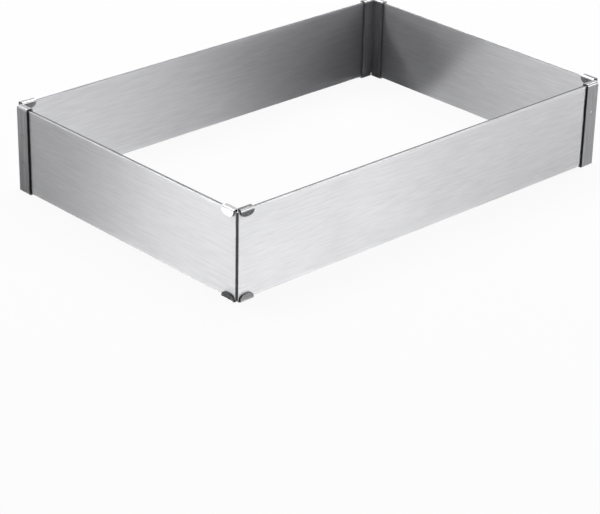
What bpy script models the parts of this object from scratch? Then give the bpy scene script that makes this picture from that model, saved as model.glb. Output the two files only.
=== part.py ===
"""Adjustable cake frame.

Four L-shaped steel sheets make a rectangular wall. Each sheet carries a folded clip at
the end of both its legs, and each clip hooks over the sheet next to it, so the frame
slides open in length and in width. Metres, +Z up, the long side along X. The frame is
closed and stands on the folds of its clips at Z = 0, centred on the origin.

Run with: blender --background --python part.py
"""

import math

import bmesh
import bpy
from mathutils import Matrix
from mathutils import Vector

# Frame, closed: outer face to outer face of the two outer sheets
FRAME_LENGTH = 0.281
FRAME_WIDTH = 0.1885

# Sheets
SHEET_HEIGHT = 0.050
SHEET_THICKNESS = 0.0008
CORNER_INSIDE_RADIUS = 0.0012
CORNER_STEPS = 8

# Fits: play between the two sheets of a wall, and between a clip and what it holds
SLIDE_GAP = 0.0005
FIT_GAP = 0.0003

# Clips: a full-height plate with a fold and a half-round tab at each end
CLIP_WIDTH = 0.009
CLIP_THICKNESS = 0.0008
FOLD_INSIDE_RADIUS = 0.0004
FOLD_STEPS = 5
TAB_LENGTH = 0.0033
TAB_STEPS = 8
TAB_TIP_ANGLE = math.radians(84)
INNER_CLIP_SETBACK = 0.0018
MITRE_ROOM_SHARE = 0.2

# Spot welds: dished marks on the face of each clip's plate
WELD_RADIUS = 0.0014
WELD_DEPTH = 0.00015
WELD_HEIGHT_SHARES = (1 / 3, 2 / 3)
WELD_SEGMENTS = 16
WELD_RINGS = 6

MERGE_DISTANCE = 0.00001
SMOOTH_ANGLE = math.radians(30)

# Depths are measured inward from the outer face of the frame's wall
CORNER_OUTSIDE_RADIUS = CORNER_INSIDE_RADIUS + SHEET_THICKNESS
FOLD_OUTSIDE_RADIUS = FOLD_INSIDE_RADIUS + CLIP_THICKNESS
INNER_SHEET_DEPTH = SHEET_THICKNESS + SLIDE_GAP
CLIP_REACH = FIT_GAP + CLIP_THICKNESS
OUTER_SKIN_DEPTH = -CLIP_REACH
INNER_SKIN_DEPTH = INNER_SHEET_DEPTH + SHEET_THICKNESS + CLIP_REACH
HALF_CLIP_HEIGHT = SHEET_HEIGHT / 2 + CLIP_REACH

# An outer clip clears the inner sheet's bend and the clip that crosses it at the corner
INNER_BEND_END = INNER_SHEET_DEPTH + CORNER_OUTSIDE_RADIUS
OUTER_CLIP_SETBACK = max(INNER_SKIN_DEPTH, INNER_BEND_END) + FIT_GAP
INNER_LEG_SETBACK = INNER_SHEET_DEPTH + SHEET_THICKNESS + FIT_GAP
MITRE_OFFSET = FIT_GAP / math.sqrt(2)

HALF_LENGTH = FRAME_LENGTH / 2
HALF_WIDTH = FRAME_WIDTH / 2
QUARTER_TURN = math.pi / 2
HALF_TURN = math.pi

SHEET_COLOUR = (0.70, 0.70, 0.71)
SHEET_ROUGHNESS = 0.32
CLIP_COLOUR = (0.52, 0.52, 0.53)
CLIP_ROUGHNESS = 0.38


def clear_scene():
    for item in list(bpy.data.objects):
        bpy.data.objects.remove(item, do_unlink=True)


def new_collection(name):
    collection = bpy.data.collections.new(name)
    bpy.context.scene.collection.children.link(collection)
    return collection


def steel(name, colour, roughness):
    material = bpy.data.materials.new(name)
    material.use_nodes = True
    shader = material.node_tree.nodes["Principled BSDF"]
    shader.inputs["Base Color"].default_value = (*colour, 1.0)
    shader.inputs["Metallic"].default_value = 1.0
    shader.inputs["Roughness"].default_value = roughness
    material.diffuse_color = (*colour, 1.0)
    return material


def arc(centre, radius, start, end, steps):
    """Points of an arc, both ends included, as pairs in the arc's own plane."""
    angles = [start + (end - start) * step / steps for step in range(steps + 1)]
    return [(centre[0] + radius * math.cos(a), centre[1] + radius * math.sin(a)) for a in angles]


def strip_mesh(name, first_edge, second_edge, outward):
    """Open strip between two outlines of as many points, its first face looking outward."""
    mesh_data = bmesh.new()
    edges = []
    for outline in (first_edge, second_edge):
        verts = [mesh_data.verts.new(point) for point in outline]
        edges += [mesh_data.edges.new(pair) for pair in zip(verts, verts[1:])]
    bmesh.ops.bridge_loops(mesh_data, edges=edges)
    bmesh.ops.recalc_face_normals(mesh_data, faces=mesh_data.faces)
    mesh_data.verts.ensure_lookup_table()
    first_face = mesh_data.verts[0].link_faces[0]
    if first_face.normal.dot(Vector(outward)) < 0:
        bmesh.ops.reverse_faces(mesh_data, faces=mesh_data.faces)
    mesh = bpy.data.meshes.new(name)
    mesh_data.to_mesh(mesh)
    mesh_data.free()
    mesh.shade_smooth()
    mesh.set_sharp_from_angle(angle=SMOOTH_ANGLE)
    return mesh


def thicken(item, thickness):
    """Grow the open strip inward, away from its outer skin."""
    solidify = item.modifiers.new("thickness", "SOLIDIFY")
    solidify.thickness = thickness
    solidify.offset = -1.0
    solidify.use_even_offset = True


def sheet_mesh(name, long_leg, short_leg):
    """Skin of an L-shaped sheet: its corner at the origin, its legs along +X and +Y."""
    centre = (CORNER_OUTSIDE_RADIUS, CORNER_OUTSIDE_RADIUS)
    bend = arc(centre, CORNER_OUTSIDE_RADIUS, HALF_TURN, HALF_TURN + QUARTER_TURN, CORNER_STEPS)
    plan = [(0, short_leg), *bend, (long_leg, 0)]
    lower = [(x, y, -SHEET_HEIGHT / 2) for x, y in plan]
    upper = [(x, y, SHEET_HEIGHT / 2) for x, y in plan]
    return strip_mesh(name, lower, upper, (-1, 0, 0))


def tab_outline(tab_depth, setback):
    """Half-round tab below its fold, as points (near edge, far edge, depth, height)."""
    middle = setback + CLIP_WIDTH / 2
    outline = []
    for step in range(1, TAB_STEPS + 1):
        angle = TAB_TIP_ANGLE * step / TAB_STEPS
        half_width = CLIP_WIDTH / 2 * math.cos(angle)
        height = HALF_CLIP_HEIGHT - FOLD_OUTSIDE_RADIUS - TAB_LENGTH * math.sin(angle)
        outline.append((middle - half_width, middle + half_width, tab_depth, height))
    return outline


def clip_mesh(name, plate_depth, tab_depth, setback, mitred):
    """Upper half of a clip's skin, from the middle of its plate over the fold to the tab.

    X runs along the leg from the frame's corner and Y is the depth. A mitred clip is
    trimmed along the corner's diagonal, to clear the one that meets it there.
    """
    side = math.copysign(1, tab_depth - plate_depth)
    fold_height = HALF_CLIP_HEIGHT - FOLD_OUTSIDE_RADIUS
    fold_starts = (plate_depth + side * FOLD_OUTSIDE_RADIUS, tab_depth - side * FOLD_OUTSIDE_RADIUS)
    plate_angle = QUARTER_TURN + side * QUARTER_TURN
    tab_angle = QUARTER_TURN - side * QUARTER_TURN
    room = MITRE_ROOM_SHARE * (max(fold_starts) - min(fold_starts))
    mitre_start = setback - MITRE_OFFSET
    mitre_start = min(max(mitre_start, min(fold_starts) + room), max(fold_starts) - room)
    profile = [(plate_depth, 0)]
    profile += arc((fold_starts[0], fold_height), FOLD_OUTSIDE_RADIUS, plate_angle, QUARTER_TURN, FOLD_STEPS)
    profile += [(mitre_start, HALF_CLIP_HEIGHT)]
    profile += arc((fold_starts[1], fold_height), FOLD_OUTSIDE_RADIUS, QUARTER_TURN, tab_angle, FOLD_STEPS)
    near_edge = []
    far_edge = []
    for depth, height in profile:
        trimmed = max(setback, depth + MITRE_OFFSET) if mitred else setback
        near_edge.append((trimmed, depth, height))
        far_edge.append((setback + CLIP_WIDTH, depth, height))
    for near, far, depth, height in tab_outline(tab_depth, setback):
        near_edge.append((near, depth, height))
        far_edge.append((far, depth, height))
    return strip_mesh(name, near_edge, far_edge, (0, -side, 0))


def weld_mark_mesh(name, plate_depth, plate_middle):
    """Two flattened balls that press the spot-weld marks into a plate."""
    mesh_data = bmesh.new()
    for share in WELD_HEIGHT_SHARES:
        height = SHEET_HEIGHT * (share - 1 / 2)
        placed = Matrix.Translation((plate_middle, plate_depth, height))
        squashed = Matrix.Diagonal((WELD_RADIUS, WELD_DEPTH, WELD_RADIUS, 1))
        bmesh.ops.create_uvsphere(
            mesh_data,
            u_segments=WELD_SEGMENTS,
            v_segments=WELD_RINGS,
            radius=1,
            matrix=placed @ squashed @ Matrix.Rotation(QUARTER_TURN, 4, "X"),
        )
    mesh = bpy.data.meshes.new(name)
    mesh_data.to_mesh(mesh)
    mesh_data.free()
    return mesh


def add_body(name, corner, parts):
    """Empty at the frame's corner that carries one sheet and its two clips."""
    body = bpy.data.objects.new(name, None)
    body.location = corner
    body.empty_display_size = CLIP_WIDTH
    parts.objects.link(body)
    return body


def add_piece(name, mesh, body, place, turn, collection):
    piece = bpy.data.objects.new(name, mesh)
    piece.parent = body
    piece.location = place
    piece.rotation_euler = turn
    collection.objects.link(piece)
    return piece


def add_sheet(name, mesh, body, place, turn, parts):
    sheet = add_piece(name, mesh, body, place, turn, parts)
    sheet.data.materials.append(steel(name + "_steel", SHEET_COLOUR, SHEET_ROUGHNESS))
    thicken(sheet, SHEET_THICKNESS)


def add_clip(name, meshes, body, place, turn, parts, cutters):
    """A clip is mirrored about its middle height, thickened, then marked by its welds."""
    skin, marks = meshes
    clip = add_piece(name, skin, body, place, turn, parts)
    clip.data.materials.append(steel(name + "_steel", CLIP_COLOUR, CLIP_ROUGHNESS))
    mirror = clip.modifiers.new("lower half", "MIRROR")
    mirror.use_axis = (False, False, True)
    mirror.merge_threshold = MERGE_DISTANCE
    thicken(clip, CLIP_THICKNESS)
    cutter = add_piece(name + "_weld_marks", marks, clip, (0, 0, 0), (0, 0, 0), cutters)
    cutter.hide_render = True
    cutter.display_type = "WIRE"
    weld_marks = clip.modifiers.new("weld marks", "BOOLEAN")
    weld_marks.operation = "DIFFERENCE"
    weld_marks.solver = "EXACT"
    weld_marks.object = cutter


def build_outer_corner(name, spin, parts, cutters):
    """Sheet outside both its walls, with its clips' plates on its outer face."""
    side = math.cos(spin)
    middle_height = HALF_CLIP_HEIGHT
    body = add_body(name, (-side * HALF_LENGTH, -side * HALF_WIDTH, middle_height), parts)
    long_leg = FRAME_LENGTH - OUTER_CLIP_SETBACK
    short_leg = FRAME_WIDTH - OUTER_CLIP_SETBACK
    add_sheet(name + "_sheet", sheet_mesh(name, long_leg, short_leg), body, (0, 0, 0), (0, 0, spin), parts)
    for leg, place, turn in (
        ("long", (side * FRAME_LENGTH, 0, 0), (0, HALF_TURN, spin)),
        ("short", (0, side * FRAME_WIDTH, 0), (0, 0, spin - QUARTER_TURN)),
    ):
        clip_name = name + "_" + leg + "_clip"
        setback = OUTER_CLIP_SETBACK
        skin = clip_mesh(clip_name, OUTER_SKIN_DEPTH, INNER_SKIN_DEPTH, setback, False)
        marks = weld_mark_mesh(clip_name + "_marks", OUTER_SKIN_DEPTH, setback + CLIP_WIDTH / 2)
        add_clip(clip_name, (skin, marks), body, place, turn, parts, cutters)


def build_inner_corner(name, spin, parts, cutters):
    """Sheet inside both its walls, with its clips' plates on its inner face."""
    side = math.cos(spin)
    middle_height = HALF_CLIP_HEIGHT
    body = add_body(name, (side * HALF_LENGTH, -side * HALF_WIDTH, middle_height), parts)
    long_leg = FRAME_LENGTH - INNER_SHEET_DEPTH - INNER_LEG_SETBACK
    short_leg = FRAME_WIDTH - INNER_SHEET_DEPTH - INNER_LEG_SETBACK
    place = (-side * INNER_SHEET_DEPTH, side * INNER_SHEET_DEPTH, 0)
    turn = (0, HALF_TURN, spin)
    add_sheet(name + "_sheet", sheet_mesh(name, long_leg, short_leg), body, place, turn, parts)
    for leg, place, turn in (
        ("long", (-side * FRAME_LENGTH, 0, 0), (0, 0, spin)),
        ("short", (0, side * FRAME_WIDTH, 0), (HALF_TURN, 0, spin - QUARTER_TURN)),
    ):
        clip_name = name + "_" + leg + "_clip"
        setback = INNER_CLIP_SETBACK
        skin = clip_mesh(clip_name, INNER_SKIN_DEPTH, OUTER_SKIN_DEPTH, setback, True)
        plate_start = max(setback, INNER_SKIN_DEPTH + MITRE_OFFSET)
        plate_middle = (plate_start + setback + CLIP_WIDTH) / 2
        marks = weld_mark_mesh(clip_name + "_marks", INNER_SKIN_DEPTH, plate_middle)
        add_clip(clip_name, (skin, marks), body, place, turn, parts, cutters)


def main():
    clear_scene()
    parts = new_collection("adjustable_cake_frame")
    cutters = new_collection("cutters")
    build_outer_corner("near_corner", 0, parts, cutters)
    build_outer_corner("far_corner", HALF_TURN, parts, cutters)
    build_inner_corner("right_corner", 0, parts, cutters)
    build_inner_corner("left_corner", HALF_TURN, parts, cutters)


main()
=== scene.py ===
"""Adjustable cake frame in satin stainless steel, dressed on its fixed frame.

Four L-shaped sheets slide in each other, and each carries a folded clip at the end of
both its legs. Metres, +Z up, the long side along X, the near corner towards -X and -Y.
"""

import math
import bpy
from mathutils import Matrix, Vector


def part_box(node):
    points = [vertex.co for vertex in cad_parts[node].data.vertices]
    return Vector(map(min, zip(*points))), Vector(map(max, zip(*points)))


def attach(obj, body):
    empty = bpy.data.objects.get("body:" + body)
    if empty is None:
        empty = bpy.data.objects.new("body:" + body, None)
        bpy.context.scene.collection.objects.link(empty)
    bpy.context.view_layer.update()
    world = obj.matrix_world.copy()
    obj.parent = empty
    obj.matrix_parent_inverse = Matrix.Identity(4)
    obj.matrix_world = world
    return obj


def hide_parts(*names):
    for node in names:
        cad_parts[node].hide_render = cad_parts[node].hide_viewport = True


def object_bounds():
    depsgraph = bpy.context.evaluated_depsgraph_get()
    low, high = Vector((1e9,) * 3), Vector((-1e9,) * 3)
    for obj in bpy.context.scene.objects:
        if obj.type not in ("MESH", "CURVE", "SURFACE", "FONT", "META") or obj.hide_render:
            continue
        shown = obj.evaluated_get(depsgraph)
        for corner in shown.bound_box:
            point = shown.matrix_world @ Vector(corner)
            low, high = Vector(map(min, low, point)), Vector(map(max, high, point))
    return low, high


bl_info = {
    "name": "Adjustable cake frame",
    "version": (1, 0, 0),
    "blender": (4, 5, 0),
    "location": "View3D > Sidebar > Cake frame",
    "description": "Builds a sliding cake frame of brushed steel and its studio",
    "category": "Add Mesh",
}

import bmesh
import bpy
from mathutils import Euler
from mathutils import Matrix
from mathutils import Vector

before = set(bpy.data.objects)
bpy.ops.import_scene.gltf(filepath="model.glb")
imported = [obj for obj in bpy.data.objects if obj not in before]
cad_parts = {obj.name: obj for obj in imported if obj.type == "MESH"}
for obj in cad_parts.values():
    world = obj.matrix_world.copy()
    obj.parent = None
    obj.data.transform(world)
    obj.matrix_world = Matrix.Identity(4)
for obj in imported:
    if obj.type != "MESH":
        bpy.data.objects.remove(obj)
CAD_LOW, CAD_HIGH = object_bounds()
SHEET_LOW, SHEET_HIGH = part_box("near_corner_sheet")

HALF_TURN = math.pi
QUARTER_TURN = math.pi / 2

# The sheets stand midway up the frame, which the folds of the clips make a little taller
MIDDLE_HEIGHT = (CAD_LOW.z + CAD_HIGH.z) / 2
SHEET_HEIGHT = SHEET_HIGH.z - SHEET_LOW.z
HALF_LENGTH = -SHEET_LOW.x
HALF_WIDTH = -SHEET_LOW.y

# Fineness of the meshes, and the angles from which an edge shades sharp or is rounded
MERGE_DISTANCE = 0.00001
PLATE_CELL = 0.0005
BEND_STEPS = 16
FOLD_STEPS = 8
SMOOTH_ANGLE = math.radians(35)
ROUNDED_ANGLE = math.radians(50)
ROUNDING_SEGMENTS = 2

# A tab's outline is drawn in rows, up to an angle that leaves a narrow edge at its tip
TAB_ROWS = 12
TAB_TIP_ANGLE = math.radians(84)

# A clip has a weld above and below its middle, this share of the sheet's height away from it
WELD_HEIGHT_SHARE = 1 / 6

# A weld's form: its dish, the lip round it in shares of the dish's depth and radius, and how many
# radii out the plate is pressed
DISH_STEEPNESS = 2
LIP_HEIGHT = 0.25
LIP_PLACE = 1.35
LIP_WIDTH = 0.25
WELD_REACH = 2

# The painted tone of a fold's flat sets in with this power of the rise from the fold's start to its top
FLAT_POWER = 8

# Noise: its roughness, its detail, its middle range and the middle range of two added together
NOISE_ROUGHNESS = 0.6
FINE_DETAIL = 3.0
PLAIN_DETAIL = 2.0
NOISE_RANGE = {"From Min": 0.3, "From Max": 0.7}
SUM_RANGE = {"From Min": 0.7, "From Max": 1.3}

# Brushed lines are about 0.05 mm wide; 0.25 mm is as fine as the picture shows
LINE_WIDTH = 0.00025
LINE_LENGTH = 0.03
LINE_DEPTH = 0.00002
LINE_STRENGTH = 0.06

# The streaks that show on a sheet are about 1.3 mm wide and 16 mm long. Those on a clip are about
# 0.9 mm wide and run most of its height
SHEET_STREAKS = (0.0013, 0.016)
CLIP_STREAKS = (0.0009, 0.036)

# Handling leaves patches about 30 mm across, where the steel is a little glossier or duller
PATCH_SIZE = 0.03
PATCH_GLOSS = 0.03
PATCH_DULLNESS = 0.04

# The tabs rub level streaks about 0.4 mm wide into the edges that they slide along
RUB_STREAKS = (0.0004, 0.02)
RUB_RANGE = {"From Min": 0.45, "From Max": 0.65}

# Scuffs on a tab are short marks, about 0.4 by 0.8 mm, with cleaner steel between them
SCUFF_MARKS = (0.0004, 0.0008)
SCUFF_RANGE = {"From Min": 0.4, "From Max": 0.6, "To Min": 0.45, "To Max": 1.05}

# Full burnish takes this much from the roughness, and full scuffing adds as much
BURNISH_SMOOTHING = 0.12

# Share of the weld's tint where its heat ring is strongest
HEAT_TINT = 0.25

# Cutting leaves marks about 0.2 mm across on an edge, between these shares of its brightness
CUT_MARKS = (0.0002, 0.0002)
CUT_DARKEST = 0.85
CUT_PALEST = 1.1
CUT_ROUGHNESS_CHANGE = 0.06

# The Mix node's colour sockets, which share their names with its other kinds
MIX_FIRST = 6
MIX_SECOND = 7
MIX_RESULT = 2

# The floor is a sheet that lies a hair below the frame: its pale body, and the gloss on it
FLOOR_HALF_SIDE = 4.0
FLOOR_CLEARANCE = 0.0001
FLOOR_COLOUR = "#e7e7e7"
FLOOR_ROUGHNESS = 0.9
GLOSS_COLOUR = "#f3f3f3"
GLOSS_ROUGHNESS = 0.1
WHITE = "#ffffff"

# Cosines of the angle to the camera's side at which the room starts to darken and is darkest
DARK_SIDE_START = 0.6
DARK_SIDE_END = 0.93

# The camera's sensor width in millimetres, and the nearest distance that it sees
SENSOR_WIDTH = 36.0
NEAR_CLIP = 0.01

# Each clip: the sheet that carries it, its leg, the frame's corner that it sits at, its turn about X, Y
# and Z, the painted tone of its plate and of its folds' flats, and then for its upper and its lower end
# the tab's lean off the wall in degrees, the tab's painted tone and the weld's.
# A tone goes from -1, scuffed steel painted darker, to 1, polished steel painted lighter. Clip by clip
# these tones paint highlights and shade, such as bright folds, a dark flat and light or dark tabs. The
# scuff marks on a dark tab are real wear, and a weld's tone is its polished middle with a painted glint
CLIPS = (
    ("near", "long", "right", (0, HALF_TURN, 0), (0.05, 0.5), (2.0, 0.0, 1.0), (1.0, 0.0, 0.1)),
    ("near", "short", "left", (0, 0, -QUARTER_TURN), (-0.3, 0.0), (0.0, -0.3, 0.1), (1.0, 0.0, 0.1)),
    ("far", "long", "left", (0, HALF_TURN, HALF_TURN), (0.0, 0.8), (0.0, -0.4, 0.2), (2.0, 0.0, 0.1)),
    ("far", "short", "right", (0, 0, QUARTER_TURN), (0.0, 0.3), (3.0, -0.2, 0.1), (1.0, 0.0, 0.2)),
    ("right", "long", "near", (0, 0, 0), (0.0, -1.0), (0.0, -1.0, 0.2), (1.0, -0.5, 0.1)),
    ("right", "short", "far", (HALF_TURN, 0, -QUARTER_TURN), (0.0, 0.4), (1.0, 0.0, 0.1), (2.0, 0.0, 0.1)),
    ("left", "long", "far", (0, 0, HALF_TURN), (0.0, 0.4), (2.0, 0.0, 0.1), (0.0, 0.0, 0.1)),
    ("left", "short", "near", (HALF_TURN, 0, QUARTER_TURN), (0.0, 0.2), (8.0, 1.0, 0.2), (0.0, -0.4, 0.1)),
)


def linear_colour(hex_code):
    """Linear red, green and blue of an sRGB hex colour."""
    values = [int(hex_code[i : i + 2], 16) / 255 for i in (1, 3, 5)]
    return [v / 12.92 if v <= 0.04045 else ((v + 0.055) / 1.055) ** 2.4 for v in values]


class CakeFrameSizes(bpy.types.PropertyGroup):
    """Thicknesses, bends and marks of the steel, where the frame's own box doesn't give them."""

    sheet_thickness: bpy.props.FloatProperty(
        name="Sheet thickness",
        description="Thickness of the L-shaped sheets",
        default=0.0008,
        unit="LENGTH",
    )
    corner_radius: bpy.props.FloatProperty(
        name="Corner radius",
        description="Outside radius of a sheet's corner bend",
        default=0.0016,
        unit="LENGTH",
    )
    slide_gap: bpy.props.FloatProperty(
        name="Slide gap",
        description="Play between the two sheets of a wall",
        default=0.0005,
        unit="LENGTH",
    )
    fit_gap: bpy.props.FloatProperty(
        name="Fit gap",
        description="Play between a clip and what it holds",
        default=0.0003,
        unit="LENGTH",
    )
    clip_width: bpy.props.FloatProperty(
        name="Clip width",
        description="Width of a clip along its wall",
        default=0.009,
        unit="LENGTH",
    )
    clip_thickness: bpy.props.FloatProperty(
        name="Clip thickness",
        description="Thickness of the clips",
        default=0.0008,
        unit="LENGTH",
    )
    fold_radius: bpy.props.FloatProperty(
        name="Fold radius",
        description="Outside radius of a clip's folds",
        default=0.0012,
        unit="LENGTH",
    )
    tab_length: bpy.props.FloatProperty(
        name="Tab length",
        description="Length of a clip's half-round tab below its fold",
        default=0.0031,
        unit="LENGTH",
    )
    tab_outline_power: bpy.props.FloatProperty(
        name="Tab outline power",
        description="Power of the sine and cosine of a tab's outline: 1 is an ellipse, less is squarer",
        default=0.8,
    )
    inner_setback: bpy.props.FloatProperty(
        name="Inner clip setback",
        description="Distance from the frame's corner to a clip with its plate inside",
        default=0.0018,
        unit="LENGTH",
    )
    weld_radius: bpy.props.FloatProperty(
        name="Weld radius",
        description="Radius of the dish that a spot weld leaves",
        default=0.0013,
        unit="LENGTH",
    )
    weld_depth: bpy.props.FloatProperty(
        name="Weld depth",
        description="Depth of the dish that a spot weld leaves",
        default=0.00008,
        unit="LENGTH",
    )
    sheared_rounding: bpy.props.FloatProperty(
        name="Sheared edge rounding",
        description="Rounding that shearing leaves on the edges of the inner sheets and the clips",
        default=0.0001,
        unit="LENGTH",
    )
    deburred_rounding: bpy.props.FloatProperty(
        name="Deburred edge rounding",
        description="Rounding of the outer sheets' edges, which are deburred smooth to the hand",
        default=0.0003,
        unit="LENGTH",
    )


class CakeFrameFinish(bpy.types.PropertyGroup):
    """Colours of the steel surfaces."""

    sheet_colour: bpy.props.FloatVectorProperty(
        name="Sheet colour",
        description="Satin rolled steel of the sheets",
        default=linear_colour("#dbdbdd"),
        subtype="COLOR",
    )
    clip_colour: bpy.props.FloatVectorProperty(
        name="Clip colour",
        description="Brushed steel of the clips",
        default=linear_colour("#b6b6b8"),
        subtype="COLOR",
    )
    # Pale steel of the rub marks, also painted as highlights on the clips' bends, flats, tabs and welds
    # and along the outer sheets' edges
    polish_and_highlight_colour: bpy.props.FloatVectorProperty(
        name="Polished colour",
        description="Steel polished by folding, rubbing and deburring",
        default=linear_colour("#ececee"),
        subtype="COLOR",
    )
    # Dark scuffed steel, also painted as shade on the tabs and folds' flats that are darker
    scuff_and_shade_colour: bpy.props.FloatVectorProperty(
        name="Scuffed colour",
        description="Steel of the tabs that use has scuffed",
        default=linear_colour("#6a6a6c"),
        subtype="COLOR",
    )
    # Dark grey of the sheared edges, which paints shade in the gaps beside the clips and between the
    # sheets
    sheared_and_shade_colour: bpy.props.FloatVectorProperty(
        name="Sheared edge colour",
        description="Dull sheared edges of the inner sheets and the clips",
        default=linear_colour("#7c7c7e"),
        subtype="COLOR",
    )
    # A paler copy of the sheared edges' colour for the far corner's clips, so that their painted shade
    # lines stay faint
    far_edge_painted_light_colour: bpy.props.FloatVectorProperty(
        name="Rubbed edge colour",
        description="Paler edges of the far corner's clips, which wiping has rubbed",
        default=linear_colour("#aaaaac"),
        subtype="COLOR",
    )
    weld_colour: bpy.props.FloatVectorProperty(
        name="Weld tint",
        description="Straw tint of the heat ring round a spot weld",
        default=linear_colour("#9c9184"),
        subtype="COLOR",
    )


class CakeFrameStudio(bpy.types.PropertyGroup):
    """Camera and light."""

    left_level: bpy.props.FloatProperty(
        name="Left softbox level",
        description="Brightness of the small softbox at the left, where 1 is white",
        default=2.02,
    )
    flank_level: bpy.props.FloatProperty(
        name="Flank softbox level",
        description="Brightness of the weak softbox between the left one and the back, where 1 is white",
        default=0.66,
    )
    right_level: bpy.props.FloatProperty(
        name="Right softbox level",
        description="Brightness of the large softbox at the right, where 1 is white",
        default=1.68,
    )
    overhead_level: bpy.props.FloatProperty(
        name="Overhead softbox level",
        description="Brightness of the softbox above the frame, where 1 is white",
        default=4.73,
    )
    panel_level: bpy.props.FloatProperty(
        name="Panel level",
        description="Brightness of the low panel at the right, where 1 is white",
        default=5.0,
    )
    back_level: bpy.props.FloatProperty(
        name="Back softbox level",
        description="Brightness of the softbox behind the frame, where 1 is white",
        default=1.35,
    )
    side_level: bpy.props.FloatProperty(
        name="Side softbox level",
        description="Brightness of the small softbox beyond the frame's right end, where 1 is white",
        default=0.98,
    )
    room_level: bpy.props.FloatProperty(
        name="Room level",
        description="Brightness of the room round the frame, where 1 is white",
        default=0.122,
    )
    camera_side_level: bpy.props.FloatProperty(
        name="Camera side level",
        description="Brightness of the unlit room behind the camera",
        default=0.032,
    )
    floor_white: bpy.props.FloatProperty(
        name="Floor white",
        description="Share of pure white in the floor that the camera sees",
        default=0.93,
        subtype="FACTOR",
    )
    floor_gloss: bpy.props.FloatProperty(
        name="Floor gloss",
        description="Share of the studio's reflection in the floor that the steel shows",
        default=1.0,
        subtype="FACTOR",
    )
    camera_azimuth: bpy.props.FloatProperty(
        name="Camera azimuth",
        description="Direction that the camera stands in, from -Y towards +X",
        default=math.radians(-43.26),
        subtype="ANGLE",
    )
    camera_elevation: bpy.props.FloatProperty(
        name="Camera elevation",
        description="Angle of the camera's axis above the floor",
        default=math.radians(26.01),
        subtype="ANGLE",
    )
    camera_roll: bpy.props.FloatProperty(
        name="Camera roll",
        description="Turn of the camera about its axis",
        default=math.radians(1.226),
        subtype="ANGLE",
    )
    camera_distance: bpy.props.FloatProperty(
        name="Camera distance",
        description="Distance from the camera to the point that it is aimed at",
        default=1.257,
        unit="LENGTH",
    )
    camera_aim: bpy.props.FloatVectorProperty(
        name="Camera aim",
        description="Point that the camera is aimed at",
        default=(-0.01887, -0.01159, -0.0427),
        subtype="TRANSLATION",
        unit="LENGTH",
    )
    camera_lens: bpy.props.FloatProperty(
        name="Camera lens",
        description="Focal length in millimetres on a sensor 36 mm wide",
        default=130.05,
    )


def sizes():
    return bpy.context.scene.cake_frame_sizes


def finish():
    return bpy.context.scene.cake_frame_finish


def studio():
    return bpy.context.scene.cake_frame_studio


# Depths are measured inward from the outer face of the frame's wall


def inner_sheet_depth():
    return sizes().sheet_thickness + sizes().slide_gap


def clip_reach():
    return sizes().fit_gap + sizes().clip_thickness


def inner_skin_depth():
    return inner_sheet_depth() + sizes().sheet_thickness + clip_reach()


def outer_clip_setback():
    return max(inner_skin_depth(), inner_sheet_depth() + sizes().corner_radius) + sizes().fit_gap


def mitre_offset():
    """How far past the frame's corner the mitre between two clips starts."""
    return sizes().fit_gap / math.sqrt(2)


def add_node(tree, kind, links=(), **settings):
    """Node of a kind with its settings, and (output, input name) pairs linked into it."""
    node = tree.nodes.new(kind)
    values = settings.pop("values", {})
    for name, value in settings.items():
        setattr(node, name, value)
    for name, value in values.items():
        node.inputs[name].default_value = value
    for output, name in links:
        tree.links.new(output, node.inputs[name])
    return node


def grain_pattern(tree, marks, upright, detail):
    """Stretched noise of marks of a width and a length, which stand upright or lie level."""
    place = add_node(tree, "ShaderNodeTexCoord")
    width, length = marks
    across = 1 / width
    along = 1 / length
    scale = (across, across, along) if upright else (along, along, across)
    mapping = add_node(
        tree,
        "ShaderNodeMapping",
        [(place.outputs["Object"], "Vector")],
        values={"Scale": scale},
    )
    noise = add_node(
        tree,
        "ShaderNodeTexNoise",
        [(mapping.outputs["Vector"], "Vector")],
        values={"Scale": 1.0, "Detail": detail, "Roughness": NOISE_ROUGHNESS},
    )
    return noise.outputs["Fac"]


def shaded(colour, share=1.0):
    """Opaque colour with its brightness changed to a share."""
    return (*[min(1.0, c * share) for c in colour], 1.0)


def new_material(name):
    """Empty material with an output and a Principled shader, as (material, tree, shader)."""
    material = bpy.data.materials.new(name)
    material.use_nodes = True
    tree = material.node_tree
    shader = tree.nodes["Principled BSDF"]
    return material, tree, shader


def brushed_steel(name, colour, upright, roughness, anisotropy, streaks, contrast):
    """Stainless steel brushed one way: fine lines, wider streaks and handled patches."""
    material, tree, shader = new_material(name)
    lines = grain_pattern(tree, (LINE_WIDTH, LINE_LENGTH), upright, FINE_DETAIL)
    wide = grain_pattern(tree, streaks, upright, PLAIN_DETAIL)
    patches = grain_pattern(tree, (PATCH_SIZE, PATCH_SIZE), upright, FINE_DETAIL)
    grain = add_node(tree, "ShaderNodeMath", [(lines, 0), (wide, 1)], operation="ADD")
    shade = add_node(tree, "ShaderNodeMapRange", [(grain.outputs[0], "Value")], values=SUM_RANGE)
    tint = add_node(
        tree,
        "ShaderNodeMix",
        [(shade.outputs["Result"], "Factor")],
        data_type="RGBA",
        values={MIX_FIRST: shaded(colour, 1 - contrast), MIX_SECOND: shaded(colour, 1 + contrast / 2)},
    )
    worn = add_node(tree, "ShaderNodeMath", [(lines, 0), (patches, 1)], operation="ADD")
    rough = add_node(
        tree,
        "ShaderNodeMapRange",
        [(worn.outputs[0], "Value")],
        values={
            **SUM_RANGE,
            "To Min": roughness - PATCH_GLOSS,
            "To Max": roughness + PATCH_DULLNESS,
        },
    )
    bump = add_node(
        tree,
        "ShaderNodeBump",
        [(lines, "Height")],
        values={"Strength": LINE_STRENGTH, "Distance": LINE_DEPTH},
    )
    tree.links.new(bump.outputs["Normal"], shader.inputs["Normal"])
    shader.inputs["Metallic"].default_value = 1.0
    shader.inputs["Anisotropic"].default_value = anisotropy
    return material, tree, shader, tint.outputs[MIX_RESULT], rough.outputs["Result"]


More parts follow.
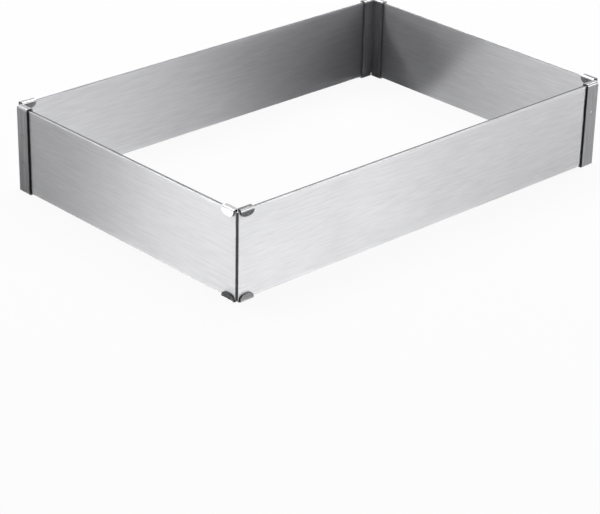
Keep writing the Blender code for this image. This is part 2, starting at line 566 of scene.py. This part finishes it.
def sheet_steel():
    """Satin cold-rolled stainless steel: short level streaks along each wall, a soft sheen."""
    material, tree, shader, tint, rough = brushed_steel(
        "satin_rolled_stainless",
        finish().sheet_colour,
        upright=False,
        roughness=0.39,
        anisotropy=0.95,
        streaks=SHEET_STREAKS,
        contrast=0.1,
    )
    upward = add_node(tree, "ShaderNodeCombineXYZ", values={"Z": 1.0})
    tree.links.new(upward.outputs["Vector"], shader.inputs["Tangent"])
    # The tabs slide along the edges and leave a polished rub mark as wide as they reach
    place = add_node(tree, "ShaderNodeTexCoord")
    height = add_node(tree, "ShaderNodeSeparateXYZ", [(place.outputs["Object"], "Vector")])
    rise = add_node(
        tree,
        "ShaderNodeMath",
        [(height.outputs["Z"], 0)],
        operation="SUBTRACT",
        values={1: MIDDLE_HEIGHT},
    )
    from_middle = add_node(tree, "ShaderNodeMath", [(rise.outputs[0], 0)], operation="ABSOLUTE")
    edge = SHEET_HEIGHT / 2
    near_edge = add_node(
        tree,
        "ShaderNodeMapRange",
        [(from_middle.outputs[0], "Value")],
        values={"From Min": edge - sizes().tab_length, "From Max": edge},
    )
    rubs = grain_pattern(tree, RUB_STREAKS, False, PLAIN_DETAIL)
    streaks = add_node(tree, "ShaderNodeMapRange", [(rubs, "Value")], values=RUB_RANGE)
    rubbed = add_node(
        tree,
        "ShaderNodeMath",
        [(near_edge.outputs["Result"], 0), (streaks.outputs["Result"], 1)],
        operation="MULTIPLY",
    )
    polished = add_node(
        tree,
        "ShaderNodeMix",
        [(rubbed.outputs[0], "Factor"), (tint, MIX_FIRST)],
        data_type="RGBA",
        values={MIX_SECOND: shaded(finish().polish_and_highlight_colour)},
    )
    tree.links.new(polished.outputs[MIX_RESULT], shader.inputs["Base Color"])
    tree.links.new(rough, shader.inputs["Roughness"])
    return material


def clip_steel():
    """Brushed stainless strip: streaks along it, bends with painted highlights, tabs painted lighter or
    darker with scuff marks, weld marks.
    """
    material, tree, shader, colour, rough = brushed_steel(
        "brushed_stainless_strip",
        finish().clip_colour,
        upright=True,
        roughness=0.38,
        anisotropy=0.8,
        streaks=CLIP_STREAKS,
        contrast=0.3,
    )
    across = add_node(tree, "ShaderNodeAttribute", attribute_name="across")
    tree.links.new(across.outputs["Vector"], shader.inputs["Tangent"])
    # Above zero the mark paints a highlight of polished steel on bends, flats, tabs and weld middles;
    # below zero it paints shade of darker scuffed steel, mottled with scuff marks
    wear_and_painted_light = add_node(tree, "ShaderNodeAttribute", attribute_name="wear_and_painted_light").outputs["Fac"]
    polish_and_highlight = add_node(
        tree, "ShaderNodeMapRange", [(wear_and_painted_light, "Value")], values={"From Min": 0.0, "From Max": 1.0}
    )
    marks = grain_pattern(tree, SCUFF_MARKS, False, PLAIN_DETAIL)
    mottle = add_node(tree, "ShaderNodeMapRange", [(marks, "Value")], values=SCUFF_RANGE)
    scuff_and_shade = add_node(
        tree,
        "ShaderNodeMapRange",
        [(wear_and_painted_light, "Value")],
        values={"From Min": -1.0, "From Max": 0.0, "To Min": 1.0, "To Max": 0.0},
    )
    scuffed = add_node(
        tree,
        "ShaderNodeMath",
        [(scuff_and_shade.outputs["Result"], 0), (mottle.outputs["Result"], 1)],
        operation="MULTIPLY",
    )
    # The heat ring is strongest at the weld's rim and fades out one radius beyond it
    distance = add_node(tree, "ShaderNodeAttribute", attribute_name="weld_distance").outputs["Fac"]
    radius = sizes().weld_radius
    inside = add_node(
        tree,
        "ShaderNodeMapRange",
        [(distance, "Value")],
        values={"From Min": radius / 2, "From Max": radius},
    )
    outside = add_node(
        tree,
        "ShaderNodeMapRange",
        [(distance, "Value")],
        values={"From Min": radius, "From Max": 2 * radius, "To Min": HEAT_TINT, "To Max": 0.0},
    )
    heated = add_node(
        tree,
        "ShaderNodeMath",
        [(inside.outputs["Result"], 0), (outside.outputs["Result"], 1)],
        operation="MULTIPLY",
    )
    for share, target in (
        (heated.outputs[0], finish().weld_colour),
        (polish_and_highlight.outputs["Result"], finish().polish_and_highlight_colour),
        (scuffed.outputs[0], finish().scuff_and_shade_colour),
    ):
        layer = add_node(
            tree,
            "ShaderNodeMix",
            [(share, "Factor"), (colour, MIX_FIRST)],
            data_type="RGBA",
            values={MIX_SECOND: shaded(target)},
        )
        colour = layer.outputs[MIX_RESULT]
    tree.links.new(colour, shader.inputs["Base Color"])
    change = add_node(
        tree,
        "ShaderNodeMapRange",
        [(wear_and_painted_light, "Value")],
        values={
            "From Min": -1.0,
            "From Max": 1.0,
            "To Min": BURNISH_SMOOTHING,
            "To Max": -BURNISH_SMOOTHING,
        },
    )
    roughness = add_node(
        tree, "ShaderNodeMath", [(rough, 0), (change.outputs["Result"], 1)], operation="ADD"
    )
    tree.links.new(roughness.outputs[0], shader.inputs["Roughness"])
    return material


def cut_steel(name, colour, roughness):
    """Cut edge of the steel, with the fine marks of its cutting."""
    material, tree, shader = new_material(name)
    marks = grain_pattern(tree, CUT_MARKS, False, PLAIN_DETAIL)
    tint = add_node(
        tree,
        "ShaderNodeMix",
        [(marks, "Factor")],
        data_type="RGBA",
        values={MIX_FIRST: shaded(colour, CUT_DARKEST), MIX_SECOND: shaded(colour, CUT_PALEST)},
    )
    tree.links.new(tint.outputs[MIX_RESULT], shader.inputs["Base Color"])
    rough = add_node(
        tree,
        "ShaderNodeMapRange",
        [(marks, "Value")],
        values={
            **NOISE_RANGE,
            "To Min": roughness - CUT_ROUGHNESS_CHANGE,
            "To Max": roughness + CUT_ROUGHNESS_CHANGE,
        },
    )
    tree.links.new(rough.outputs["Result"], shader.inputs["Roughness"])
    shader.inputs["Metallic"].default_value = 1.0
    return material


def deburred_edge_painted_highlight():
    """Outer sheets' edges, deburred smooth to the hand: matt, with a pale colour that paints a highlight
    along them as light lines.
    """
    return cut_steel("deburred_stainless_edge_painted_highlight", finish().polish_and_highlight_colour, roughness=0.6)


def sheared_edge_painted_shade():
    """Sheared edges left as cut: rough, with a grey that paints the shade of the gaps beside them, darker
    than the faces.
    """
    return cut_steel("sheared_stainless_edge_painted_shade", finish().sheared_and_shade_colour, roughness=0.5)


def far_edge_painted_light():
    """Sheared edges of the far corner's clips, painted paler so that their shade stays faint: nearly as
    light as the shaded faces by them.
    """
    return cut_steel("sheared_stainless_edge_painted_lighter", finish().far_edge_painted_light_colour, roughness=0.5)


def add_modifier(piece, kind, name, **settings):
    modifier = piece.modifiers.new(name, kind)
    for key, value in settings.items():
        setattr(modifier, key, value)


def add_piece(name, mesh_data, place, body, node, materials, thickness, rounding):
    """Object of a folded skin, thickened inward, with its cut edges slightly rounded."""
    mesh_data.transform(place)
    mesh = bpy.data.meshes.new(name)
    mesh_data.to_mesh(mesh)
    mesh_data.free()
    mesh.shade_smooth()
    mesh.set_sharp_from_angle(angle=SMOOTH_ANGLE)
    piece = bpy.data.objects.new(name, mesh)
    bpy.context.scene.collection.objects.link(piece)
    for material in materials:
        mesh.materials.append(material)
    add_modifier(
        piece,
        "SOLIDIFY",
        "thickness",
        thickness=thickness,
        offset=-1.0,
        use_even_offset=True,
        material_offset_rim=1,
    )
    add_modifier(
        piece,
        "BEVEL",
        "tumbled edges",
        width=rounding,
        segments=ROUNDING_SEGMENTS,
        limit_method="ANGLE",
        angle_limit=ROUNDED_ANGLE,
        harden_normals=True,
    )
    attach(piece, body)
    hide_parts(node)


def of_kind(geometry, kind):
    return [g for g in geometry if isinstance(g, kind)]


def whole(mesh_data):
    return mesh_data.verts[:] + mesh_data.edges[:] + mesh_data.faces[:]


def extruded(mesh_data, edges, offset):
    """Extrudes edges by an offset and returns the new edges."""
    made = bmesh.ops.extrude_edge_only(mesh_data, edges=edges)["geom"]
    verts = of_kind(made, bmesh.types.BMVert)
    bmesh.ops.translate(mesh_data, verts=verts, vec=offset)
    moved = set(verts)
    return [e for e in of_kind(made, bmesh.types.BMEdge) if set(e.verts) <= moved]


def spun(mesh_data, geometry, centre, axis, steps):
    """Spins geometry a quarter turn about an axis and returns what the last step made."""
    made = bmesh.ops.spin(
        mesh_data,
        geom=geometry,
        cent=centre,
        axis=axis,
        angle=QUARTER_TURN,
        steps=steps,
    )
    return made["geom_last"]


def face_outward(mesh_data, outward):
    """Points the skin's faces outward, judged by its first face."""
    bmesh.ops.recalc_face_normals(mesh_data, faces=mesh_data.faces)
    mesh_data.faces.ensure_lookup_table()
    if mesh_data.faces[0].normal.dot(Vector(outward)) < 0:
        bmesh.ops.reverse_faces(mesh_data, faces=mesh_data.faces)


def sheet_skin(long_leg, short_leg):
    """Outer skin of a sheet: its corner at the origin, its legs along +X and +Y."""
    mesh_data = bmesh.new()
    radius = sizes().corner_radius
    leg_end = mesh_data.verts.new((0, short_leg, -SHEET_HEIGHT / 2))
    made = bmesh.ops.extrude_vert_indiv(mesh_data, verts=[leg_end])
    bmesh.ops.translate(mesh_data, verts=made["verts"], vec=(0, radius - short_leg, 0))
    bend_end = spun(mesh_data, made["verts"], (radius, radius, 0), (0, 0, 1), BEND_STEPS)
    last = of_kind(bend_end, bmesh.types.BMVert)
    made = bmesh.ops.extrude_vert_indiv(mesh_data, verts=last)
    bmesh.ops.translate(mesh_data, verts=made["verts"], vec=(long_leg - radius, 0, 0))
    extruded(mesh_data, mesh_data.edges[:], (0, 0, SHEET_HEIGHT))
    face_outward(mesh_data, (-1, 0, 0))
    return mesh_data


def lean_tab(mesh_data, tab_depth, outward, hinge_height, upper, angle):
    """Turns one tab about the end of its fold; a positive lean moves its tip outward."""
    turn = angle * outward * (1 if upper else -1)
    verts = [
        v
        for v in mesh_data.verts
        if abs(v.co.y - tab_depth) < MERGE_DISTANCE
        and abs(v.co.z) < hinge_height
        and (v.co.z > 0) == upper
    ]
    hinge = Vector((0, tab_depth, hinge_height if upper else -hinge_height))
    bmesh.ops.rotate(mesh_data, cent=hinge, matrix=Matrix.Rotation(turn, 3, "X"), verts=verts)


def mark_steel(mesh_data, tab_depth, fold_height, across, plate_and_flat_painted_light, tabs, weld_polish_and_glint):
    """Vertex marks for the steel: across its grain, and the tone of each part of the clip, which paints
    highlights and shade on it along with its polish and scuffs.
    """
    size = sizes()
    grain = mesh_data.verts.layers.float_vector.new("across")
    wear_and_light = mesh_data.verts.layers.float.new("wear_and_painted_light")
    mark = mesh_data.verts.layers.float["weld_distance"]
    plate_painted_light, flat_painted_light = plate_and_flat_painted_light
    electrode_radius = size.weld_radius / 2
    for vert in mesh_data.verts:
        vert[grain] = across
        rise = min(1.0, max(0.0, (abs(vert.co.z) - fold_height) / size.fold_radius))
        upper = vert.co.z > 0
        tab = tabs[0] if upper else tabs[1]
        near_tab = abs(vert.co.y - tab_depth) <= size.fold_radius + MERGE_DISTANCE
        if rise > 0:
            # A bend gets a painted highlight, strongest midway, blended between the flat and the face it
            # starts from
            face = max(tab, 0.0) if near_tab else plate_painted_light
            bend = 2 * rise * math.sqrt(1 - rise * rise)
            vert[wear_and_light] = bend + face * (1 - rise) + flat_painted_light * rise**FLAT_POWER
        elif abs(vert.co.y - tab_depth) < MERGE_DISTANCE:
            # A tab takes its own tone: above zero a painted highlight, below zero painted shade with scuff
            # marks
            vert[wear_and_light] = tab
        else:
            # The electrode polishes the middle of a weld; a high weld tone there is a painted glint
            middle = math.exp(-((vert[mark] / electrode_radius) ** 2))
            vert[wear_and_light] = plate_painted_light + middle * (weld_polish_and_glint[0] if upper else weld_polish_and_glint[1])


def add_plate(mesh_data, middle, depth, height):
    """Upper half of a clip's plate, from the clip's middle up, and its top edges."""
    width = sizes().clip_width
    bmesh.ops.create_grid(
        mesh_data,
        x_segments=round(width / PLATE_CELL),
        y_segments=round(height / PLATE_CELL),
        size=1 / 2,
        matrix=Matrix.Translation((middle, depth, height / 2))
        @ Matrix.Rotation(QUARTER_TURN, 4, "X")
        @ Matrix.Diagonal((width, height, 1, 1)),
    )
    return [e for e in mesh_data.edges if all(abs(v.co.z - height) < MERGE_DISTANCE for v in e.verts)]


def add_fold(mesh_data, edges, plate_depth, tab_depth, height):
    """Folds a plate's edges over the sheets: a bend, a flat and a bend down to where the tab starts."""
    radius = sizes().fold_radius
    side = math.copysign(1, tab_depth - plate_depth)
    flat = abs(tab_depth - plate_depth) - 2 * radius
    axis = (-side, 0, 0)
    first_centre = (0, plate_depth + side * radius, height)
    edges = of_kind(spun(mesh_data, edges, first_centre, axis, FOLD_STEPS), bmesh.types.BMEdge)
    edges = extruded(mesh_data, edges, (0, side * flat, 0))
    second_centre = (0, tab_depth - side * radius, height)
    return of_kind(spun(mesh_data, edges, second_centre, axis, FOLD_STEPS), bmesh.types.BMEdge)


def add_tab(mesh_data, edges, middle):
    """Half-round tab that hangs from edges, row by row down to its narrow tip."""
    power = sizes().tab_outline_power
    drop_before = 0.0
    width_before = 1.0
    for row in range(1, TAB_ROWS + 1):
        angle = TAB_TIP_ANGLE * row / TAB_ROWS
        drop = sizes().tab_length * math.sin(angle) ** power
        width = math.cos(angle) ** power
        edges = extruded(mesh_data, edges, (0, 0, drop_before - drop))
        bmesh.ops.scale(
            mesh_data,
            verts=list({v for e in edges for v in e.verts}),
            vec=(width / width_before, 1, 1),
            space=Matrix.Translation((-middle, 0, 0)),
        )
        drop_before = drop
        width_before = width


def weld_place(plate_depth, setback, mitred):
    """Middle of the plate's face along the wall."""
    start = setback
    if mitred:
        start = max(setback, plate_depth + mitre_offset())
    return (start + setback + sizes().clip_width) / 2


def weld_dish(distance):
    """Depth of a weld's dish at a distance from its middle; a low lip runs round it."""
    size = sizes()
    share = distance / size.weld_radius
    dish = size.weld_depth * math.exp(-DISH_STEEPNESS * share**4)
    lip = LIP_HEIGHT * size.weld_depth * math.exp(-(((share - LIP_PLACE) / LIP_WIDTH) ** 2))
    return dish - lip


def press_weld(mesh_data, plate_depth, side, top, weld_middle):
    """Presses a weld's dish into the plate, and marks each vertex with its distance from the weld."""
    size = sizes()
    mark = mesh_data.verts.layers.float.new("weld_distance")
    weld_height = SHEET_HEIGHT * WELD_HEIGHT_SHARE
    for vert in mesh_data.verts:
        on_plate = abs(vert.co.y - plate_depth) < MERGE_DISTANCE and vert.co.z <= top
        distance = math.hypot(vert.co.x - weld_middle, vert.co.z - weld_height)
        vert[mark] = distance if on_plate else size.clip_width
        if on_plate and distance < WELD_REACH * size.weld_radius:
            vert.co.y += side * weld_dish(distance)


def clip_skin(plate_depth, tab_depth, setback, mitred, across, plate_and_flat_painted_light, upper, lower):
    """Outer skin of a clip: X along the leg from the frame's corner, Y inward."""
    mesh_data = bmesh.new()
    size = sizes()
    side = math.copysign(1, tab_depth - plate_depth)
    half_height = SHEET_HEIGHT / 2 + clip_reach()
    fold_height = half_height - size.fold_radius
    middle = setback + size.clip_width / 2
    edges = add_plate(mesh_data, middle, plate_depth, fold_height)
    edges = add_fold(mesh_data, edges, plate_depth, tab_depth, fold_height)
    add_tab(mesh_data, edges, middle)
    if mitred:
        bmesh.ops.bisect_plane(
            mesh_data,
            geom=whole(mesh_data),
            plane_co=(mitre_offset(), 0, 0),
            plane_no=(-1, 1, 0),
            clear_outer=True,
        )
    weld_middle = weld_place(plate_depth, setback, mitred)
    press_weld(mesh_data, plate_depth, side, fold_height, weld_middle)
    bmesh.ops.mirror(mesh_data, geom=whole(mesh_data), axis="Z", merge_dist=MERGE_DISTANCE)
    bmesh.ops.remove_doubles(mesh_data, verts=mesh_data.verts, dist=MERGE_DISTANCE)
    # Each end's tab tone and weld tone, which paint highlights, shade and a glint
    tabs = (upper[1], lower[1])
    weld_polish_and_glint = (upper[2], lower[2])
    mark_steel(mesh_data, tab_depth, fold_height, across, plate_and_flat_painted_light, tabs, weld_polish_and_glint)
    lean_tab(mesh_data, tab_depth, side, fold_height, True, math.radians(upper[0]))
    lean_tab(mesh_data, tab_depth, side, fold_height, False, math.radians(lower[0]))
    face_outward(mesh_data, (0, -side, 0))
    return mesh_data


def corner_place(name):
    """Place of a corner of the frame, by its name, midway up the sheets."""
    side_x = -1 if name in ("near", "left") else 1
    side_y = -1 if name in ("near", "right") else 1
    return Vector((side_x * HALF_LENGTH, side_y * HALF_WIDTH, MIDDLE_HEIGHT))


def turned(place, angles):
    return Matrix.Translation(place) @ Euler(angles, "XYZ").to_matrix().to_4x4()


class CAKE_FRAME_OT_sheets(bpy.types.Operator):
    """Build the four L-shaped sheets"""

    bl_idname = "cake_frame.sheets"
    bl_label = "Build sheets"

    def execute(self, context):
        steel = sheet_steel()
        size = sizes()
        # Outer sheets' edges carry a painted highlight, inner sheets' edges painted shade
        outer = ([steel, deburred_edge_painted_highlight()], size.deburred_rounding)
        inner = ([steel, sheared_edge_painted_shade()], size.sheared_rounding)
        outer_ends = outer_clip_setback()
        inner_depth = inner_sheet_depth()
        inner_ends = 2 * inner_depth + size.sheet_thickness + size.fit_gap
        for name, ends, depth, flip, (materials, rounding) in (
            ("near", outer_ends, 0, 0, outer),
            ("far", outer_ends, 0, 0, outer),
            ("right", inner_ends, inner_depth, HALF_TURN, inner),
            ("left", inner_ends, inner_depth, HALF_TURN, inner),
        ):
            spin = 0 if name in ("near", "right") else HALF_TURN
            corner = corner_place(name)
            inward = Vector((-math.copysign(depth, corner.x), -math.copysign(depth, corner.y), 0))
            add_piece(
                name + "_sheet",
                sheet_skin(2 * HALF_LENGTH - ends, 2 * HALF_WIDTH - ends),
                place=turned(corner + inward, (0, flip, spin)),
                body=name + "_corner",
                node=name + "_corner_sheet",
                materials=materials,
                thickness=size.sheet_thickness,
                rounding=rounding,
            )
        return {"FINISHED"}


class CAKE_FRAME_OT_clips(bpy.types.Operator):
    """Build the eight folded clips"""

    bl_idname = "cake_frame.clips"
    bl_label = "Build clips"

    def execute(self, context):
        steel = clip_steel()
        # The clips' sheared edges carry painted shade, paler at the far corner
        sheared = sheared_edge_painted_shade()
        # rubbed: the far corner's edges, painted paler so that their shade stays faint
        rubbed = far_edge_painted_light()
        size = sizes()
        outside = -clip_reach()
        inside = inner_skin_depth()
        for sheet, leg, corner, turn, plate_and_flat_painted_light, upper, lower in CLIPS:
            # A clip that is turned upside down has its upper tab at the bottom
            if turn[0] or turn[1]:
                upper, lower = lower, upper
            across = (1, 0, 0) if leg == "long" else (0, 1, 0)
            if sheet in ("near", "far"):
                form = (outside, inside, outer_clip_setback(), False)
            else:
                form = (inside, outside, size.inner_setback, True)
            add_piece(
                sheet + "_" + leg + "_clip",
                clip_skin(*form, across, plate_and_flat_painted_light, upper, lower),
                place=turned(corner_place(corner), turn),
                body=sheet + "_corner",
                node=sheet + "_corner_" + leg + "_clip",
                materials=[steel, rubbed if corner == "far" else sheared],
                thickness=size.clip_thickness,
                rounding=size.sheared_rounding,
            )
        return {"FINISHED"}


def floor_material():
    """Gloss white acrylic floor: white to the camera, with the shadow of what stands on it."""
    material, tree, shader = new_material("gloss_white_acrylic")
    shader.inputs["Base Color"].default_value = shaded(linear_colour(FLOOR_COLOUR))
    shader.inputs["Roughness"].default_value = FLOOR_ROUGHNESS
    shader.inputs["Specular IOR Level"].default_value = 0.0
    path = add_node(tree, "ShaderNodeLightPath")
    white = shaded(linear_colour(WHITE))
    glow = add_node(tree, "ShaderNodeEmission", values={"Color": white, "Strength": 1.0})
    # What the steel mirrors of the floor is its gloss, which shows the studio in turn
    gloss = add_node(
        tree,
        "ShaderNodeBsdfGlossy",
        values={"Color": shaded(linear_colour(GLOSS_COLOUR)), "Roughness": GLOSS_ROUGHNESS},
    )
    surface = shader.outputs["BSDF"]
    for ray, layer, share in (
        ("Is Glossy Ray", gloss.outputs["BSDF"], studio().floor_gloss),
        ("Is Camera Ray", glow.outputs["Emission"], studio().floor_white),
    ):
        amount = add_node(
            tree,
            "ShaderNodeMath",
            [(path.outputs[ray], 0)],
            operation="MULTIPLY",
            values={1: share},
        )
        mix = add_node(
            tree, "ShaderNodeMixShader", [(amount.outputs[0], 0), (surface, 1), (layer, 2)]
        )
        surface = mix.outputs["Shader"]
    tree.links.new(surface, tree.nodes["Material Output"].inputs["Surface"])
    return material


def add_floor():
    mesh_data = bmesh.new()
    bmesh.ops.create_grid(mesh_data, x_segments=1, y_segments=1, size=FLOOR_HALF_SIDE)
    mesh = bpy.data.meshes.new("floor")
    mesh_data.to_mesh(mesh)
    mesh_data.free()
    floor = bpy.data.objects.new("floor", mesh)
    floor.location.z = CAD_LOW.z - FLOOR_CLEARANCE
    bpy.context.scene.collection.objects.link(floor)
    mesh.materials.append(floor_material())


def add_lamp(name, place, width, tall, level):
    """Area lamp that faces the frame; a level of 1 looks white."""
    lamp_data = bpy.data.lights.new(name, "AREA")
    lamp_data.shape = "RECTANGLE"
    lamp_data.size = width
    lamp_data.size_y = tall
    lamp_data.energy = level * math.pi * width * tall
    lamp = bpy.data.objects.new(name, lamp_data)
    lamp.location = place
    lamp.rotation_euler = (-Vector(place)).to_track_quat("-Z", "Y").to_euler()
    bpy.context.scene.collection.objects.link(lamp)


def add_world():
    """Even room light, darker on the camera's side."""
    world = bpy.data.worlds.new("studio room")
    bpy.context.scene.world = world
    world.use_nodes = True
    tree = world.node_tree
    look = studio()
    direction = add_node(tree, "ShaderNodeTexCoord")
    towards_camera = add_node(
        tree,
        "ShaderNodeVectorMath",
        [(direction.outputs["Generated"], 0)],
        operation="DOT_PRODUCT",
        values={1: (math.sin(look.camera_azimuth), -math.cos(look.camera_azimuth), 0.0)},
    )
    level = add_node(
        tree,
        "ShaderNodeMapRange",
        [(towards_camera.outputs["Value"], "Value")],
        interpolation_type="SMOOTHSTEP",
        values={
            "From Min": DARK_SIDE_START,
            "From Max": DARK_SIDE_END,
            "To Min": look.room_level,
            "To Max": look.camera_side_level,
        },
    )
    background = tree.nodes["Background"]
    background.inputs["Color"].default_value = shaded(linear_colour(WHITE))
    tree.links.new(level.outputs["Result"], background.inputs["Strength"])


def add_camera():
    look = studio()
    azimuth = look.camera_azimuth
    elevation = look.camera_elevation
    back = Vector(
        (
            math.sin(azimuth) * math.cos(elevation),
            -math.cos(azimuth) * math.cos(elevation),
            math.sin(elevation),
        )
    )
    camera_data = bpy.data.cameras.new("camera")
    camera_data.sensor_width = SENSOR_WIDTH
    camera_data.lens = look.camera_lens
    camera_data.clip_start = NEAR_CLIP
    camera = bpy.data.objects.new("camera", camera_data)
    camera.location = Vector(look.camera_aim) + back * look.camera_distance
    level = (-back).to_track_quat("-Z", "Y").to_matrix()
    camera.rotation_euler = (level @ Matrix.Rotation(look.camera_roll, 3, "Z")).to_euler()
    bpy.context.scene.collection.objects.link(camera)
    bpy.context.scene.camera = camera


class CAKE_FRAME_OT_stage(bpy.types.Operator):
    """Set up the floor, the lamps, the room and the camera"""

    bl_idname = "cake_frame.stage"
    bl_label = "Set up studio"

    def execute(self, context):
        context.scene.view_settings.view_transform = "Standard"
        add_floor()
        look = studio()
        for name, place, width, tall, level in (
            ("left softbox", (-0.875, 0.37, 0.17), 0.56, 0.34, look.left_level),
            ("flank softbox", (-0.677, 0.867, 0.16), 0.5, 0.32, look.flank_level),
            ("right softbox", (0.498, -1.113, 0.604), 1.02, 1.09, look.right_level),
            ("overhead softbox", (0.225, 0.48, 1.1), 2.03, 0.54, look.overhead_level),
            ("right panel", (1.011, -0.421, 0.05), 1.04, 0.1, look.panel_level),
            ("back softbox", (0.698, 0.939, 0.268), 0.9, 0.445, look.back_level),
            ("side softbox", (1.071, 0.251, 0.233), 0.445, 0.44, look.side_level),
        ):
            add_lamp(name, place, width, tall, level)
        add_world()
        add_camera()
        return {"FINISHED"}


class CAKE_FRAME_PT_panel(bpy.types.Panel):
    """Sidebar panel with the building steps and all settings"""

    bl_idname = "CAKE_FRAME_PT_panel"
    bl_label = "Cake frame"
    bl_space_type = "VIEW_3D"
    bl_region_type = "UI"
    bl_category = "Cake frame"

    def draw(self, context):
        for operator in OPERATORS:
            self.layout.operator(operator.bl_idname)
        for group in (sizes(), finish(), studio()):
            for name in group.bl_rna.properties.keys():
                if name not in ("rna_type", "name"):
                    self.layout.prop(group, name)


OPERATORS = (CAKE_FRAME_OT_sheets, CAKE_FRAME_OT_clips, CAKE_FRAME_OT_stage)
GROUPS = (CakeFrameSizes, CakeFrameFinish, CakeFrameStudio)


def register():
    for item in (*GROUPS, *OPERATORS, CAKE_FRAME_PT_panel):
        bpy.utils.register_class(item)
    bpy.types.Scene.cake_frame_sizes = bpy.props.PointerProperty(type=CakeFrameSizes)
    bpy.types.Scene.cake_frame_finish = bpy.props.PointerProperty(type=CakeFrameFinish)
    bpy.types.Scene.cake_frame_studio = bpy.props.PointerProperty(type=CakeFrameStudio)


def unregister():
    del bpy.types.Scene.cake_frame_studio
    del bpy.types.Scene.cake_frame_finish
    del bpy.types.Scene.cake_frame_sizes
    for item in reversed((*GROUPS, *OPERATORS, CAKE_FRAME_PT_panel)):
        bpy.utils.unregister_class(item)


def main():
    register()
    bpy.ops.cake_frame.sheets()
    bpy.ops.cake_frame.clips()
    bpy.ops.cake_frame.stage()


if __name__ == "__main__":
    main()
